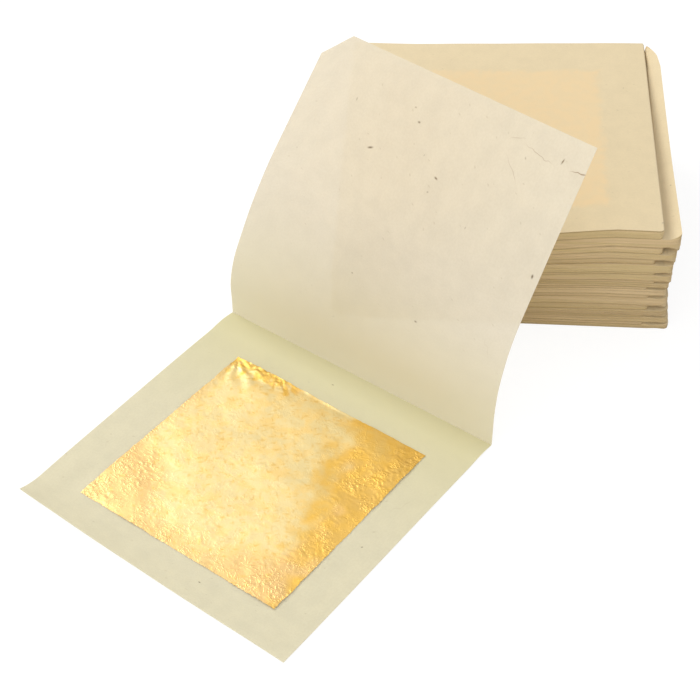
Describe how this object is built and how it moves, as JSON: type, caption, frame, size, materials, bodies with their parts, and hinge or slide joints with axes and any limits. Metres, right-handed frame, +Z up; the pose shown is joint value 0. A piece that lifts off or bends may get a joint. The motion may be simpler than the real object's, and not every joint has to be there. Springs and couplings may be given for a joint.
{
  "type": "gold leaf booklet",
  "caption": "Stack of folded translucent paper leaves with gold leaf inside each, and one leaf opened in front to show its square of crinkled gold.",
  "frame": {"origin": "centre of the underside of the stack, on the table", "axes": "+Z up; +X along the stack's front edge to the right; +Y from the front of the stack to its back"},
  "size_m": [0.1175, 0.1439, 0.0495],
  "materials": {
    "stack_paper": "matte",
    "open_paper": "matte",
    "gold_leaf": "satin"
  },
  "bodies": {
    "base_bundle": {"bundle_01_leaves": "stack_paper", "bundle_01_gold": "gold_leaf"},
    "bundle_02": {"bundle_02_leaves": "stack_paper", "bundle_02_gold": "gold_leaf"},
    "bundle_03": {"bundle_03_leaves": "stack_paper", "bundle_03_gold": "gold_leaf"},
    "bundle_04": {"bundle_04_leaves": "stack_paper", "bundle_04_gold": "gold_leaf"},
    "bundle_05": {"bundle_05_leaves": "stack_paper", "bundle_05_gold": "gold_leaf"},
    "bundle_06": {"bundle_06_leaves": "stack_paper", "bundle_06_gold": "gold_leaf"},
    "bundle_07": {"bundle_07_leaves": "stack_paper", "bundle_07_gold": "gold_leaf"},
    "bundle_08": {"bundle_08_leaves": "stack_paper", "bundle_08_gold": "gold_leaf"},
    "bundle_09": {"bundle_09_leaves": "stack_paper", "bundle_09_gold": "gold_leaf"},
    "bundle_10": {"bundle_10_leaves": "stack_paper", "bundle_10_gold": "gold_leaf"},
    "bundle_11": {"bundle_11_leaves": "stack_paper", "bundle_11_gold": "gold_leaf"},
    "bundle_12": {"bundle_12_leaves": "stack_paper", "bundle_12_gold": "gold_leaf"},
    "bundle_13": {"bundle_13_leaves": "stack_paper", "bundle_13_gold": "gold_leaf"},
    "bundle_14": {"bundle_14_leaves": "stack_paper", "bundle_14_gold": "gold_leaf"},
    "bundle_15": {"bundle_15_leaves": "stack_paper", "bundle_15_gold": "gold_leaf"},
    "bundle_16": {"bundle_16_leaves": "stack_paper", "bundle_16_gold": "gold_leaf"},
    "bundle_17": {"bundle_17_leaves": "stack_paper", "bundle_17_gold": "gold_leaf"},
    "bundle_18": {"bundle_18_leaves": "stack_paper", "bundle_18_gold": "gold_leaf"},
    "bundle_19": {"bundle_19_leaves": "stack_paper", "bundle_19_gold": "gold_leaf"},
    "bundle_20": {"bundle_20_leaves": "stack_paper", "bundle_20_gold": "gold_leaf"},
    "top_leaf": {"top_leaf": "stack_paper", "top_leaf_gold": "gold_leaf"},
    "open_leaf": {"open_lower_sheet": "open_paper"},
    "open_gold": {"open_gold_leaf": "gold_leaf"},
    "raised_foot": {"raised_sheet_foot": "open_paper"},
    "raised_panel": {"raised_sheet_panel": "open_paper"}
  },
  "joints": [
    {"name": "bundle_02_slide", "type": "slide", "parent": "base_bundle", "child": "bundle_02", "axis": [0, 1, 0], "range_m": [0, 0.062]},
    {"name": "bundle_03_slide", "type": "slide", "parent": "base_bundle", "child": "bundle_03", "axis": [0, 1, 0], "range_m": [0, 0.062]},
    {"name": "bundle_04_slide", "type": "slide", "parent": "base_bundle", "child": "bundle_04", "axis": [0, 1, 0], "range_m": [0, 0.062]},
    {"name": "bundle_05_slide", "type": "slide", "parent": "base_bundle", "child": "bundle_05", "axis": [0, 1, 0], "range_m": [0, 0.062]},
    {"name": "bundle_06_slide", "type": "slide", "parent": "base_bundle", "child": "bundle_06", "axis": [0, 1, 0], "range_m": [0, 0.062]},
    {"name": "bundle_07_slide", "type": "slide", "parent": "base_bundle", "child": "bundle_07", "axis": [0, 1, 0], "range_m": [0, 0.062]},
    {"name": "bundle_08_slide", "type": "slide", "parent": "base_bundle", "child": "bundle_08", "axis": [0, 1, 0], "range_m": [0, 0.062]},
    {"name": "bundle_09_slide", "type": "slide", "parent": "base_bundle", "child": "bundle_09", "axis": [0, 1, 0], "range_m": [0, 0.062]},
    {"name": "bundle_10_slide", "type": "slide", "parent": "base_bundle", "child": "bundle_10", "axis": [0, 1, 0], "range_m": [0, 0.062]},
    {"name": "bundle_11_slide", "type": "slide", "parent": "base_bundle", "child": "bundle_11", "axis": [0, 1, 0], "range_m": [0, 0.062]},
    {"name": "bundle_12_slide", "type": "slide", "parent": "base_bundle", "child": "bundle_12", "axis": [0, 1, 0], "range_m": [0, 0.062]},
    {"name": "bundle_13_slide", "type": "slide", "parent": "base_bundle", "child": "bundle_13", "axis": [0, 1, 0], "range_m": [0, 0.062]},
    {"name": "bundle_14_slide", "type": "slide", "parent": "base_bundle", "child": "bundle_14", "axis": [0, 1, 0], "range_m": [0, 0.062]},
    {"name": "bundle_15_slide", "type": "slide", "parent": "base_bundle", "child": "bundle_15", "axis": [0, 1, 0], "range_m": [0, 0.062]},
    {"name": "bundle_16_slide", "type": "slide", "parent": "base_bundle", "child": "bundle_16", "axis": [0, 1, 0], "range_m": [0, 0.062]},
    {"name": "bundle_17_slide", "type": "slide", "parent": "base_bundle", "child": "bundle_17", "axis": [0, 1, 0], "range_m": [0, 0.062]},
    {"name": "bundle_18_slide", "type": "slide", "parent": "base_bundle", "child": "bundle_18", "axis": [0, 1, 0], "range_m": [0, 0.062]},
    {"name": "bundle_19_slide", "type": "slide", "parent": "base_bundle", "child": "bundle_19", "axis": [0, 1, 0], "range_m": [0, 0.062]},
    {"name": "bundle_20_slide", "type": "slide", "parent": "base_bundle", "child": "bundle_20", "axis": [0, 1, 0], "range_m": [0, 0.062]},
    {"name": "top_leaf_slide", "type": "slide", "parent": "base_bundle", "child": "top_leaf", "axis": [0, 1, 0], "range_m": [0, 0.062]},
    {"name": "open_leaf_lift", "type": "slide", "parent": "base_bundle", "child": "open_leaf", "axis": [0, 0, 1], "range_m": [0, 0.03]},
    {"name": "open_gold_lift", "type": "slide", "parent": "open_leaf", "child": "open_gold", "axis": [0, 0, -1], "range_m": [-0.03, 0]},
    {"name": "crease", "type": "hinge", "parent": "open_leaf", "child": "raised_foot", "pos_m": [-0.05215, -0.03016, 0.00013], "axis": [0.8348, -0.5505, 0], "range_deg": [0, 80]},
    {"name": "panel_bend", "type": "hinge", "parent": "raised_foot", "child": "raised_panel", "pos_m": [-0.05079, -0.0281, 0.0151], "axis": [0.8205, -0.571, -0.0273], "range_deg": [0, 50]}
  ],
  "couplings": [
    {"joint": "panel_bend", "follows": "crease", "ratio": 0.6}
  ]
}
